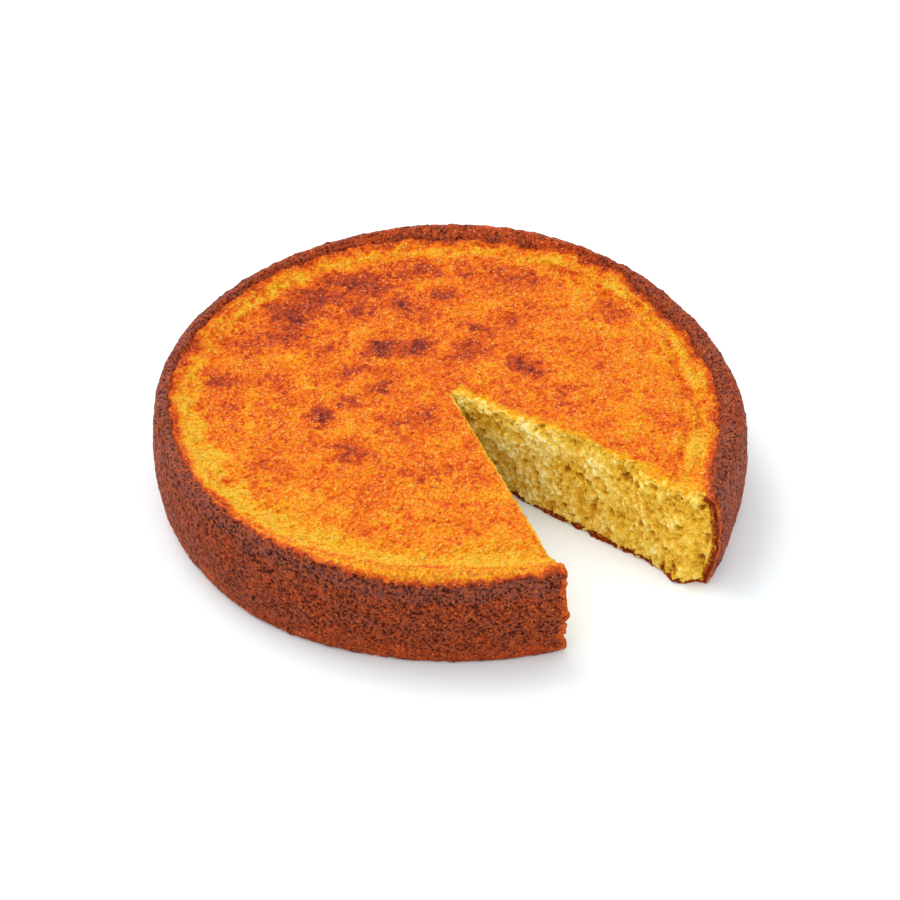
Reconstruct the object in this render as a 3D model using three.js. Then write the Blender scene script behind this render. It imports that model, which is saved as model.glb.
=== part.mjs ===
// A round cornmeal cake with one wedge cut out of it.
// Millimetres, +Z up. It stands on z = 0 with the middle of its outline at the origin,
// and the gap that the wedge left opens along -Y.

import * as THREE from 'three';
import { ImprovedNoise } from 'three/addons/math/ImprovedNoise.js';

// The side, from the base up: it bulges a little halfway and rounds over into the rim.
const BASE_RADIUS = 113.2;
const BASE_EDGE_ROUNDING = 1.6;
const WIDEST_RADIUS = 115;
const WIDEST_HEIGHT = 22;
const SHOULDER_RADIUS = 112.6;
const SHOULDER_HEIGHT = 40.8;

// The top, from the rim in: a raised lip, a shallow groove inside it and a faintly domed middle.
const CREST_RADIUS = 109.2;
const CREST_HEIGHT = 42.3;
const GROOVE_RADIUS = 98;
const GROOVE_HEIGHT = 37.4;
const PLATEAU_RADIUS = 89;
const PLATEAU_HEIGHT = 38;
const CENTRE_HEIGHT = 38.9;

// The baked outline isn't a true circle: each entry swells it into a number of lobes.
const OUTLINE_SWELLS = [
  { lobes: 2, height: 2.5, towards: -77.2 },
  { lobes: 3, height: 2.4, towards: -71.3 },
  { lobes: 4, height: 0.7, towards: -64.5 },
];

// The missing wedge: two cuts that meet a little off the middle.
const WEDGE_ANGLE = 32.3;
const WEDGE_DIRECTION = -90;
const CUT_MEETING_POINT = new THREE.Vector2(2.5, 2.3);

// Unevenness of the baked and the cut surfaces: how high it is and how far apart its bumps are.
const TOP_BUMPS = { height: 0.7, spacing: 13, offset: 3.1 };
const CRUST_BUMPS = { height: 0.8, spacing: 9, offset: 17.7 };
const RIM_SAG = { height: 1.1, spacing: 34, offset: 29.3 };
const CUT_CRAGS = { height: 1.6, spacing: 6.5, offset: 41.9 };

// How finely the surfaces are divided.
const SIDE_ROWS = 11;
const LIP_COLUMNS = 8;
const PLATEAU_COLUMNS = 14;
const RING_STEP = 5.2;

const CRUST_COLOUR = 0xa0512c;

const noise = new ImprovedNoise();

function bumps({ height, spacing, offset }, x, y, z) {
  return height * noise.noise(x / spacing + offset, y / spacing + offset, z / spacing + offset);
}

// Distance from the middle of the cake to its outline at its widest, in a direction in radians.
function outlineRadius(angle) {
  const swell = ({ lobes, height, towards }) => {
    return height * Math.cos(lobes * (angle - THREE.MathUtils.degToRad(towards)));
  };
  return OUTLINE_SWELLS.reduce((radius, entry) => radius + swell(entry), WIDEST_RADIUS);
}

function outlinePoint(angle) {
  const radius = outlineRadius(angle);
  return new THREE.Vector2(radius * Math.cos(angle), radius * Math.sin(angle));
}

// The direction, seen from the middle of the cake, in which a cut reaches the outline.
function cutEnd(cutAngle) {
  let angle = cutAngle;
  for (let pass = 0; pass < 8; pass += 1) {
    const reach = outlinePoint(angle).sub(CUT_MEETING_POINT);
    angle += cutAngle - Math.atan2(reach.y, reach.x);
  }
  return angle;
}

const halfWedge = THREE.MathUtils.degToRad(WEDGE_ANGLE / 2);
const wedgeMiddle = THREE.MathUtils.degToRad(WEDGE_DIRECTION);
const FIRST_ANGLE = cutEnd(wedgeMiddle + halfWedge);
const LAST_ANGLE = cutEnd(wedgeMiddle - halfWedge) + 2 * Math.PI;

// Radial section of the cake. Both curves hold points of (radius, height), the side one going up
// from the base edge to the crest of the rim and the top one going from there to the middle.
const sideCurve = new THREE.SplineCurve([
  new THREE.Vector2(BASE_RADIUS - BASE_EDGE_ROUNDING, 0),
  new THREE.Vector2(BASE_RADIUS, BASE_EDGE_ROUNDING),
  new THREE.Vector2((BASE_RADIUS + 2 * WIDEST_RADIUS) / 3, WIDEST_HEIGHT / 2),
  new THREE.Vector2(WIDEST_RADIUS, WIDEST_HEIGHT),
  new THREE.Vector2((SHOULDER_RADIUS + 2 * WIDEST_RADIUS) / 3, (WIDEST_HEIGHT + 2 * SHOULDER_HEIGHT) / 3),
  new THREE.Vector2(SHOULDER_RADIUS, SHOULDER_HEIGHT),
  new THREE.Vector2(CREST_RADIUS, CREST_HEIGHT),
]);
const lipCurve = new THREE.SplineCurve([
  new THREE.Vector2(CREST_RADIUS, CREST_HEIGHT),
  new THREE.Vector2((2 * CREST_RADIUS + GROOVE_RADIUS) / 3, (CREST_HEIGHT + GROOVE_HEIGHT) / 2 + 0.5),
  new THREE.Vector2(GROOVE_RADIUS, GROOVE_HEIGHT),
  new THREE.Vector2(PLATEAU_RADIUS, PLATEAU_HEIGHT),
]);
const plateauCurve = new THREE.SplineCurve([
  new THREE.Vector2(PLATEAU_RADIUS, PLATEAU_HEIGHT),
  new THREE.Vector2(PLATEAU_RADIUS / 2, (PLATEAU_HEIGHT + 2 * CENTRE_HEIGHT) / 3),
  new THREE.Vector2(0, CENTRE_HEIGHT),
]);
const sideSection = sideCurve.getSpacedPoints(SIDE_ROWS);
const topSection = [
  ...lipCurve.getSpacedPoints(LIP_COLUMNS),
  ...plateauCurve.getSpacedPoints(PLATEAU_COLUMNS).slice(1),
];
const COLUMNS = topSection.length - 1;

const positions = [];
const faces = [];

function addPoint(x, y, z) {
  positions.push(x, y, z);
  return positions.length / 3 - 1;
}

// A point on a ring of the crust. The base ring stays flat on z = 0.
function crustPoint(angle, radius, height) {
  const share = radius / WIDEST_RADIUS;
  const plan = outlinePoint(angle).sub(CUT_MEETING_POINT).multiplyScalar(share).add(CUT_MEETING_POINT);
  if (height === 0) {
    return new THREE.Vector3(plan.x, plan.y, 0);
  }
  const lip = THREE.MathUtils.smoothstep(radius, PLATEAU_RADIUS, CREST_RADIUS);
  const lift = THREE.MathUtils.smoothstep(height, WIDEST_HEIGHT, CREST_HEIGHT);
  const outward = new THREE.Vector2(Math.cos(angle), Math.sin(angle));
  const swell = lip * bumps(CRUST_BUMPS, plan.x, plan.y, height);
  const rise = bumps(TOP_BUMPS, plan.x, plan.y, 0) + lip * bumps(RIM_SAG, plan.x, plan.y, 0);
  return new THREE.Vector3(plan.x + outward.x * swell, plan.y + outward.y * swell, height + lift * rise);
}

// Pushes a point of a cut face in or out across the cut, as torn crumb lies. The corner edge, where
// the two cuts meet, stays where it is.
function acrossCut(angle, point, radius) {
  const along = outlinePoint(angle).sub(CUT_MEETING_POINT).normalize();
  const fade = THREE.MathUtils.smoothstep(radius, 0, 2 * CUT_CRAGS.spacing);
  const push = fade * bumps(CUT_CRAGS, point.x, point.y, point.z);
  return new THREE.Vector3(point.x - along.y * push, point.y + along.x * push, point.z);
}

// A chain of points round the crust from one cut to the other, evenly spaced.
function addRing({ x: radius, y: height }) {
  const sweep = LAST_ANGLE - FIRST_ANGLE;
  const steps = Math.max(2, Math.round((sweep * radius) / RING_STEP));
  const ring = [];
  for (let step = 0; step <= steps; step += 1) {
    const angle = FIRST_ANGLE + (sweep * step) / steps;
    const onCut = step === 0 || step === steps;
    const point = crustPoint(angle, radius, height);
    ring.push(addPoint(...(onCut ? acrossCut(angle, point, radius) : point)));
  }
  return ring;
}

// Fills the strip between two chains that run the same way with triangles.
function stitch(left, right) {
  let l = 0;
  let r = 0;
  while (l < left.length - 1 || r < right.length - 1) {
    const leftShare = (l + 1) / (left.length - 1);
    const rightShare = (r + 1) / (right.length - 1);
    if (l === left.length - 1 || (r < right.length - 1 && rightShare <= leftShare)) {
      faces.push([left[l], right[r], right[r + 1]]);
      r += 1;
    } else {
      faces.push([left[l], right[r], left[l + 1]]);
      l += 1;
    }
  }
}

const sideRings = sideSection.map(addRing);
const topRings = [sideRings[SIDE_ROWS], ...topSection.slice(1, COLUMNS).map(addRing)];

// The upright edge in which the two cuts meet, from the base up.
const cornerEdge = [];
for (let row = 0; row <= SIDE_ROWS; row += 1) {
  cornerEdge.push(addPoint(CUT_MEETING_POINT.x, CUT_MEETING_POINT.y, (CENTRE_HEIGHT * row) / SIDE_ROWS));
}

// A point inside a cut face: the side's section drawn in to a share of its radius, and stretched so
// that it ends on the top.
function cutPoint(angle, top, side, up) {
  const share = top.x / CREST_RADIUS;
  const reach = (share * side.x) / WIDEST_RADIUS;
  const plan = outlinePoint(angle).sub(CUT_MEETING_POINT).multiplyScalar(reach).add(CUT_MEETING_POINT);
  const height = up * top.y + share * (side.y - up * CREST_HEIGHT);
  return acrossCut(angle, new THREE.Vector3(plan.x, plan.y, height), share * side.x);
}

// A cut face as columns of points that go up, from the outer crust in to the corner edge. The rings
// and the corner edge lend it its border, so it adds only the points between them and its base line.
function addCutFace(angle, endOf) {
  const columns = [sideRings.map(endOf)];
  for (let column = 1; column < COLUMNS; column += 1) {
    const points = [];
    for (let row = 0; row < SIDE_ROWS; row += 1) {
      points.push(addPoint(...cutPoint(angle, topSection[column], sideSection[row], row / SIDE_ROWS)));
    }
    points.push(endOf(topRings[column]));
    columns.push(points);
  }
  columns.push(cornerEdge);
  return columns;
}

const firstOf = (ring) => ring[0];
const lastOf = (ring) => ring[ring.length - 1];
const firstCut = addCutFace(FIRST_ANGLE, firstOf);
const lastCut = addCutFace(LAST_ANGLE, lastOf);

for (let row = 0; row < SIDE_ROWS; row += 1) {
  stitch(sideRings[row + 1], sideRings[row]);
}
for (let column = 1; column < topRings.length; column += 1) {
  stitch(topRings[column], topRings[column - 1]);
}
stitch([cornerEdge[SIDE_ROWS]], topRings[COLUMNS - 1]);
for (let column = 0; column < COLUMNS; column += 1) {
  stitch(firstCut[column + 1], firstCut[column]);
  stitch(lastCut[column], lastCut[column + 1]);
}

// The flat base fills the loop of the lowest ring and the two base lines.
const baseLine = (cut) => cut.slice(1, COLUMNS).map((column) => column[0]);
const baseLoop = [
  ...sideRings[0],
  ...baseLine(lastCut),
  cornerEdge[0],
  ...baseLine(firstCut).reverse(),
];
const planOf = (index) => new THREE.Vector2(positions[3 * index], positions[3 * index + 1]);
const baseContour = baseLoop.map(planOf);
for (const [a, b, c] of THREE.ShapeUtils.triangulateShape(baseContour, [])) {
  faces.push([baseLoop[a], baseLoop[c], baseLoop[b]]);
}

const geometry = new THREE.BufferGeometry();
geometry.setAttribute('position', new THREE.Float32BufferAttribute(positions, 3));
geometry.setIndex(faces.flat());
geometry.computeBoundingBox();
const middle = geometry.boundingBox.getCenter(new THREE.Vector3());
geometry.translate(-middle.x, -middle.y, 0);
geometry.computeVertexNormals();

const material = new THREE.MeshStandardMaterial({ color: CRUST_COLOUR, roughness: 0.75, metalness: 0 });
const cake = new THREE.Mesh(geometry, material);
cake.name = 'cornmeal_cake';

const group = new THREE.Group();
group.add(cake);

export default group;
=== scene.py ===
# %% [markdown]
# A round cornmeal cake, baked in a tin, with one wedge cut out.
#
# Three things are seen on the real cake: a dark, pitted crust that the tin browned, a golden top
# that the oven browned, and the moist yellow crumb that the knife opened. Each is a piece here.
# The solid of the cake gives the place and the size, and the pieces follow its section.

# %% Load the frame
import math
from itertools import product

import bpy
import numpy as np
from mathutils import Matrix, Vector


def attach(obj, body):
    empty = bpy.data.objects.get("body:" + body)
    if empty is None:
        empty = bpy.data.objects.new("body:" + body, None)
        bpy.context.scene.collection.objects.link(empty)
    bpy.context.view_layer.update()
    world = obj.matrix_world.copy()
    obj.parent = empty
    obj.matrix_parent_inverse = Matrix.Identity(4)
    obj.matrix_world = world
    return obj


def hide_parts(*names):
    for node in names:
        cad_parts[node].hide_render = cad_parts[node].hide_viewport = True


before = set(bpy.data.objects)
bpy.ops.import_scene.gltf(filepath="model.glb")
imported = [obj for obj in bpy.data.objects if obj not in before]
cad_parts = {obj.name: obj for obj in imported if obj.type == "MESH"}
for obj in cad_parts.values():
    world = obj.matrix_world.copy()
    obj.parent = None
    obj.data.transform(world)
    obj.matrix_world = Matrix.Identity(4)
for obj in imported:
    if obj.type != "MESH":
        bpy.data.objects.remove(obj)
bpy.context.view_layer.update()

MM = 0.001
NODE = "cornmeal_cake"

# %% [markdown]
# The shape of the cake. All sizes below are millimetres. A baked cake is drawn by a curve from its
# base up the side and over the rim, and by another from the rim to the middle. The outline isn't a
# true circle, because the batter rose unevenly, so a few broad swells bend it. It could be sculpted
# by eye, but sizes that are written down first are easy to check on the real cake and to change.

# %% Sizes
BASE_RADIUS, BASE_EDGE_ROUNDING = 113.2, 1.6
WIDEST_RADIUS, WIDEST_HEIGHT = 115, 22
SHOULDER_RADIUS, SHOULDER_HEIGHT = 112.6, 40.8
CREST_RADIUS, CREST_HEIGHT = 109.2, 42.3
GROOVE_RADIUS, GROOVE_HEIGHT = 98, 37.4
PLATEAU_RADIUS, PLATEAU_HEIGHT = 89, 38
CENTRE_HEIGHT = 38.9

OUTLINE_SWELLS = [(2, 2.5, -77.2), (3, 2.4, -71.3), (4, 0.7, -64.5)]  # lobes, height, towards
CUT_SWELLS = [(2.6, -74, 7), (-2.2, -57, 9), (1.8, 254, 7)]  # height, towards, width in degrees

MIDDLE = np.array([2.06, -0.31])  # of the outline, in plan
WEDGE_ANGLE, WEDGE_DIRECTION = 32.3, -90
TIP = MIDDLE + (2.5, 2.3)  # where the two cuts meet

SKIN_DEPTH = 3.0  # of the golden top, down the cut faces
SIDE_CRUST, BASE_CRUST = 2.9, 1.5  # how thick the browned crust is
print("rim and middle stand, mm:", CREST_HEIGHT, CENTRE_HEIGHT, "wedge:", WEDGE_ANGLE, "degrees")

# %% [markdown]
# The side of the real cake bulges, turns over at the shoulder and drops into a groove inside the
# rim. Curves through a few points give that section. Blender's curve objects could draw it too, but
# plain rows of points are easier to cut off at the wedge. They are spread evenly along the curve, so
# that the triangles made from them later are all about the same size.

# %% Smooth curves
def curve(points, samples=80):
    """Many points on a smooth curve through a few points."""
    points = np.array(points, float)
    padded = np.vstack([points[:1], points, points[-1:]])
    share = np.linspace(0, 1, samples, endpoint=False)[:, None]
    runs = []
    for before, start, end, after in zip(padded, padded[1:], padded[2:], padded[3:]):
        leave, arrive = (end - before) / 2, (after - start) / 2
        cubic = 2 * start - 2 * end + leave + arrive
        square = -3 * start + 3 * end - 2 * leave - arrive
        runs.append(cubic * share**3 + square * share**2 + leave * share + start)
    return np.vstack([*runs, points[-1:]])


def run_along(points):
    """How far along its curve each point lies."""
    steps = np.linalg.norm(np.diff(points, axis=0), axis=1)
    return np.concatenate([[0], np.cumsum(steps)])


def evenly(points, count):
    """The same curve with its points evenly spread."""
    run = run_along(points)
    wanted = np.linspace(0, run[-1], count)
    return np.stack([np.interp(wanted, run, column) for column in points.T], axis=1)


# %% Section of the cake
side_curve = curve([
    (BASE_RADIUS - BASE_EDGE_ROUNDING, 0),
    (BASE_RADIUS, BASE_EDGE_ROUNDING),
    ((BASE_RADIUS + 2 * WIDEST_RADIUS) / 3, WIDEST_HEIGHT / 2),
    (WIDEST_RADIUS, WIDEST_HEIGHT),
    ((SHOULDER_RADIUS + 2 * WIDEST_RADIUS) / 3, (WIDEST_HEIGHT + 2 * SHOULDER_HEIGHT) / 3),
    (SHOULDER_RADIUS, SHOULDER_HEIGHT),
    (CREST_RADIUS, CREST_HEIGHT),
])
lip_curve = curve([
    (CREST_RADIUS, CREST_HEIGHT),
    ((2 * CREST_RADIUS + GROOVE_RADIUS) / 3, (CREST_HEIGHT + GROOVE_HEIGHT) / 2 + 0.5),
    (GROOVE_RADIUS, GROOVE_HEIGHT),
    (PLATEAU_RADIUS, PLATEAU_HEIGHT),
])
middle_curve = curve([
    (PLATEAU_RADIUS, PLATEAU_HEIGHT),
    (PLATEAU_RADIUS / 2, (PLATEAU_HEIGHT + 2 * CENTRE_HEIGHT) / 3),
    (0, CENTRE_HEIGHT),
])
over_the_top = np.vstack([lip_curve, middle_curve])[::-1]
shoulder = side_curve[side_curve[:, 1] > SHOULDER_HEIGHT][::-1]
top_line = np.vstack([over_the_top, shoulder])


def top_height(radius):
    return np.interp(radius, top_line[:, 0], top_line[:, 1])


print("way up the side to the crest, mm:", run_along(side_curve)[-1].round(1))

# %% [markdown]
# From above, the real cake swells out more in some directions than in others, and beside the cuts,
# where it gave way to the knife. A point of a piece is placed by a direction, a radius and a height.
# A whole cake with the wedge cut out by a Boolean would do too, but it leaves ragged triangles along
# the cuts. Here every row of points simply starts at one cut and ends at the other.

# %% Outline and cuts
def near_direction(angle, towards, width):
    """1 in one direction, given in degrees, and dying out about a width to either side of it."""
    apart = (np.degrees(angle) - towards + 180) % 360 - 180
    return np.exp(-((apart / width) ** 2))


def outline(angle):
    """Plan of the cake's widest line. The angle is seen from the outline's middle."""
    radius = WIDEST_RADIUS + sum(
        height * np.cos(lobes * (angle - math.radians(towards)))
        for lobes, height, towards in OUTLINE_SWELLS
    )
    for height, towards, width in CUT_SWELLS:
        radius = radius + height * near_direction(angle, towards, width)
    return MIDDLE + np.stack([radius * np.cos(angle), radius * np.sin(angle)], axis=-1)


def cut_end(direction):
    """The angle, seen from the middle, at which a cut in this direction reaches the outline."""
    angle = direction
    for _ in range(8):
        reach = outline(np.array(angle)) - TIP
        angle += direction - math.atan2(reach[1], reach[0])
    return angle


half_wedge = math.radians(WEDGE_ANGLE / 2)
FIRST = cut_end(math.radians(WEDGE_DIRECTION) + half_wedge)
LAST = cut_end(math.radians(WEDGE_DIRECTION) - half_wedge) + 2 * math.pi
BACK = math.pi / 2  # the direction that looks away from the wedge


def at(angle, radius, height):
    """Rows of x, y and height, then the angle and radius that they come from."""
    angle, radius, height = np.broadcast_arrays(np.atleast_1d(angle), radius, height)
    place = TIP + (outline(angle) - TIP) * radius[:, None] / WIDEST_RADIUS
    return np.column_stack([place, height, angle, radius])


whole_outline = outline(np.linspace(FIRST, LAST, 2000))
print("outline, mm:", whole_outline.min(axis=0).round(1), "to", whole_outline.max(axis=0).round(1))

# %% [markdown]
# Baked surfaces are rough at every size: broad swells, pebbles, pits and pores. Two kinds of random
# field make them all. `waves` rolls smoothly up and down, and `spots` scatters points and tells how
# far the nearest one is, which gives round things such as pits, bubbles and clumps of crumb.
# Blender's Displace modifier has such fields too. Written out here, they can be bent, mixed and
# read again where the browning follows the relief.

# %% Random fields
WAVE_STRETCH = 2.2  # brings most heights to between -1 and 1


def scramble(cell, salt):
    """A number from 0 to 1 for every cell of space, the same on every run."""
    mixed = cell[..., 0] * 73856093 ^ cell[..., 1] * 19349663 ^ cell[..., 2] * 83492791
    mixed = (mixed ^ salt * 40503001) & 0xFFFFFFFF
    mixed = (mixed ^ mixed >> 15) * 0x2C1B3C6D & 0xFFFFFFFF
    mixed = (mixed ^ mixed >> 12) * 0x297A2D39 & 0xFFFFFFFF
    return ((mixed ^ mixed >> 15) & 0xFFFFFF) / 0x1000000


def random_vector(cell, salt):
    return np.stack([scramble(cell, salt + axis) for axis in range(3)], axis=-1)


def waves(points, size, salt):
    """Smooth random heights, mostly from -1 to 1, about one size wide."""
    place = points / size
    corner = np.floor(place).astype(np.int64)
    inside = place - corner
    fade = inside**3 * (inside * (inside * 6 - 15) + 10)
    height = np.zeros(len(points))
    for step in product((0, 1), repeat=3):
        slope = random_vector(corner + step, salt) * 2 - 1
        weight = np.where(step, fade, 1 - fade).prod(axis=1)
        height += weight * (slope * (inside - step)).sum(axis=1)
    return height * WAVE_STRETCH


def rough(points, size, salt, layers=3):
    """Waves with finer and lower waves on them."""
    return sum(waves(points, size / 2**n, salt + 11 * n) / 2**n for n in range(layers))


def spots(points, size, salt):
    """Distance to the nearest and the next random spot, in cells, and the nearest one's own number."""
    place = points / size
    corner = np.floor(place).astype(np.int64)
    nearest = np.full(len(points), 9.0)
    second = nearest.copy()
    number = np.zeros(len(points))
    for step in product((-1, 0, 1), repeat=3):
        cell = corner + step
        distance = np.linalg.norm(place - cell - random_vector(cell, salt), axis=1)
        closer = distance < nearest
        second = np.where(closer, nearest, np.minimum(second, distance))
        number = np.where(closer, scramble(cell, salt + 3), number)
        nearest = np.where(closer, distance, nearest)
    return nearest, second, number


heights = waves(np.linspace((0, 0, 0), (400, 300, 200), 2000), 10, 0)
print("waves run from", heights.min().round(2), "to", heights.max().round(2))

# %% Shaping the fields
def blend_in(value, start, end):
    """0 before start, 1 after end and a smooth rise between them, or the fall if end is lower."""
    share = np.clip((value - start) / (end - start), 0, 1)
    return share * share * (3 - 2 * share)


def pocks(points, size, salt, edge, core, rarity):
    """Round hollows at some of the spots: 1 nearer the middle than core, 0 further than edge."""
    nearest, _, number = spots(points, size, salt)
    return blend_in(nearest, edge, core) * (number > rarity)


def facing(angle, towards, start, end):
    """1 on the part of the cake that lies in one direction, in degrees, and 0 on the far part."""
    return blend_in(np.cos(angle - math.radians(towards)), start, end)


# %% [markdown]
# A piece is gathered patch by patch. Chains of points run side by side, and `stitch` fills the strip
# between two of them with triangles, also when they have different numbers of points. That keeps the
# triangles even from the rim to the middle. A grid bent into a disc would crowd them at the middle.
# What never shows, such as the underside of the golden top, is closed with large triangles, so each
# piece is a closed body.

# %% Building closed pieces
class Skin:
    """Points and triangles of one piece. Each triangle remembers the patch that it belongs to."""

    def __init__(self):
        self.chains = []
        self.count = 0
        self.triangles = []
        self.patches = []

    def chain(self, points):
        self.chains.append(points)
        self.count += len(points)
        return np.arange(self.count - len(points), self.count)

    def points(self):
        return np.vstack(self.chains)

    def stitch(self, left, right, patch, left_run=None, right_run=None):
        """Fills the strip between two chains. The runs say how far along it each point lies."""
        left_run = np.linspace(0, 1, len(left)) if left_run is None else left_run
        right_run = np.linspace(0, 1, len(right)) if right_run is None else right_run
        at_left = at_right = 0
        while at_left < len(left) - 1 or at_right < len(right) - 1:
            step_right = at_right < len(right) - 1 and (
                at_left == len(left) - 1 or right_run[at_right + 1] <= left_run[at_left + 1]
            )
            if step_right:
                self.triangles.append((left[at_left], right[at_right], right[at_right + 1]))
                at_right += 1
            else:
                self.triangles.append((left[at_left], right[at_right], left[at_left + 1]))
                at_left += 1
            self.patches.append(patch)

    def stitch_cuts(self, right_pair, left_pair, patch):
        """Fills a strip on each cut face, between chains that run from the outside to the tip."""
        self.stitch(right_pair[1], right_pair[0], "right " + patch)
        self.stitch(left_pair[0], left_pair[1], "left " + patch)

    def fill_flat(self, right_row, left_row, ring, patch, facing_up):
        """Fills the plan shape between the two cut lines and the ring that joins them."""
        cuts = np.concatenate([right_row, left_row[-2::-1]])
        run = np.concatenate([
            np.linspace(0, 0.3, len(right_row)),
            np.linspace(0.7, 1, len(left_row) - 1),
        ])
        if facing_up:
            self.stitch(cuts, ring, patch, left_run=run)
        else:
            self.stitch(ring, cuts, patch, right_run=run)

    def stitch_round(self, ring, right_ends, low_ring, left_ends, facing_in):
        """Fills the hidden wall below a ring: a chain goes down one cut, round, and up the other."""
        chain = np.concatenate([right_ends, low_ring, left_ends[::-1]])
        first = 1 / (len(ring) - 1)
        run = np.concatenate([
            np.full(len(right_ends), first),
            np.linspace(first, 1 - first, len(low_ring)),
            np.full(len(left_ends), 1 - first),
        ])
        run[0], run[-1] = 0, 1
        if facing_in:
            self.stitch(chain, ring, "hidden", left_run=run)
        else:
            self.stitch(ring, chain, "hidden", right_run=run)


def ring_angles(radius, spacing):
    """Directions from one cut round to the other, so far apart on a ring."""
    return np.linspace(FIRST, LAST, max(2, round((LAST - FIRST) * radius / spacing)) + 1)


# %% [markdown]
# The golden top is a skin some three millimetres thick, from the tip of the wedge out to under the
# rim. It is made of rings, closed by its own short walls on the two cut faces and by a hidden
# underside. The whole cake could be one mesh, but a piece of its own keeps the fine triangles where
# the pebbles need them, and gives the top its own finish.

# %% Golden top, plain form
TOP_SPACING, CRUMB_SPACING, HIDDEN_SPACING = 0.62, 0.38, 5.0
TUCKED_RADIUS, CRUMB_RADIUS = 108.9, 111.8

cut_radii = np.linspace(CRUMB_RADIUS, 0, round(CRUMB_RADIUS / CRUMB_SPACING) + 1)
skin_radii = cut_radii[cut_radii <= TUCKED_RADIUS]


def cut_row(skin, angle, radii, heights, tip):
    """A chain on a cut face from the outside to the tip, which both faces share."""
    return np.append(skin.chain(at(angle, radii[:-1], heights[:-1])), tip)


def ends_below(rows):
    """The outer end of every row but the first."""
    return np.array([row[0] for row in rows[1:]])


golden = Skin()
ring_radii = np.linspace(skin_radii[0], 0, round(skin_radii[0] / TOP_SPACING) + 1)
rings = [
    golden.chain(at(ring_angles(radius, TOP_SPACING), radius, top_height(radius)))
    for radius in ring_radii[:-1]
]
tip = golden.chain(at(BACK, 0, top_height(0)))
for outer, inner in zip(rings, rings[1:] + [tip]):
    golden.stitch(inner, outer, "face")

right_rows = [np.append([ring[0] for ring in rings], tip)]
left_rows = [np.append([ring[-1] for ring in rings], tip)]
wall_rows = round(SKIN_DEPTH / CRUMB_SPACING)
for row in range(1, wall_rows + 1):
    heights = top_height(skin_radii) - SKIN_DEPTH * row / wall_rows
    tip = golden.chain(at(BACK, 0, heights[-1]))
    right_rows.append(cut_row(golden, FIRST, skin_radii, heights, tip))
    left_rows.append(cut_row(golden, LAST, skin_radii, heights, tip))
    golden.stitch_cuts(right_rows[-2:], left_rows[-2:], "cut")

hidden_angles = ring_angles(skin_radii[0], HIDDEN_SPACING)[1:-1]
under_ring = golden.chain(at(hidden_angles, skin_radii[0], GROOVE_HEIGHT - SKIN_DEPTH - 1))
right_ends, left_ends = ends_below(right_rows), ends_below(left_rows)
golden.stitch_round(rings[0], right_ends, under_ring, left_ends, facing_in=False)
golden.fill_flat(right_rows[-1], left_rows[-1], under_ring, "hidden", facing_up=False)
print("golden top:", golden.count, "points,", len(golden.triangles), "triangles")

# %% [markdown]
# The crumb fills the cake under the golden top and inside the crust. A block with bubbles all
# through it would be truer, but only the two cut faces show, so they get all the detail.

# %% Crumb, plain form
CRUMB_FLOOR = BASE_CRUST - 0.9  # the crumb reaches into the base crust
crumb_rows = round((CENTRE_HEIGHT - SKIN_DEPTH - CRUMB_FLOOR) / CRUMB_SPACING)
side_heights, side_radii = side_curve[:, 1], side_curve[:, 0]


def crumb_section(share):
    """Radii and heights of a chain, from the seam under the golden top (0) to the base (1)."""
    seam = top_height(cut_radii) - SKIN_DEPTH
    heights = seam + (CRUMB_FLOOR - seam) * share
    side = np.interp(heights[0], side_heights, side_radii) - SIDE_CRUST / 2
    reach = side + (CRUMB_RADIUS - side) * (1 - share) ** 6
    return cut_radii * reach / CRUMB_RADIUS, heights


crumb = Skin()
right_rows, left_rows = [], []
for row in range(crumb_rows + 1):
    radii, heights = crumb_section(row / crumb_rows)
    tip = crumb.chain(at(BACK, 0, heights[-1]))
    right_rows.append(cut_row(crumb, FIRST, radii, heights, tip))
    left_rows.append(cut_row(crumb, LAST, radii, heights, tip))
    if row:
        crumb.stitch_cuts(right_rows[-2:], left_rows[-2:], "cut")

hidden_angles = ring_angles(CRUMB_RADIUS, HIDDEN_SPACING)[1:-1]
seam_ring, floor_ring = (
    crumb.chain(at(hidden_angles, radius, height))
    for radius, height in ((WIDEST_RADIUS - 6, GROOVE_HEIGHT - 6), (BASE_RADIUS - 3, CRUMB_FLOOR))
)
seam_edge = np.concatenate([right_rows[0][:1], seam_ring, left_rows[0][:1]])
right_ends, left_ends = ends_below(right_rows), ends_below(left_rows)
crumb.stitch_round(seam_edge, right_ends, floor_ring, left_ends, facing_in=False)
crumb.fill_flat(right_rows[0], left_rows[0], seam_ring, "hidden", facing_up=True)
crumb.fill_flat(right_rows[-1], left_rows[-1], floor_ring, "hidden", facing_up=False)
print("crumb:", crumb.count, "points,", len(crumb.triangles), "triangles")

# %% [markdown]
# The crust is a thin shell: the side, the rim that rolls over on to the golden top, and the base.
# Its inner edge on the top is ragged, nearer the middle on one side than on the other. It could be
# a mere change of colour, but on the real cake the rim stands proud. So it is a piece that dips into
# the golden top, and the two rough surfaces meet in an uneven line.

# %% Where the crust ends on the top
RIM_EDGES = [  # direction in degrees, and the radius at which the crust ends on the top
    (-74, 107.2), (-66, 106.3), (-60, 105), (-50, 103.8), (-35, 103.4), (-15, 104.6), (2, 105.4),
    (8, 106.2), (14, 107.2), (23, 107.5), (30, 106.2), (37, 104.2), (42, 103.4), (52, 103),
    (62, 104.2), (76, 105.4), (100, 106.2), (140, 107), (155, 106.2), (180, 107), (225, 106.8),
    (254, 106.8),
]


def round_the_rim(angle, table):
    """A size that changes from one direction to the next, as the table says."""
    return np.interp(np.degrees(angle), *zip(*table), period=360)


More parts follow.
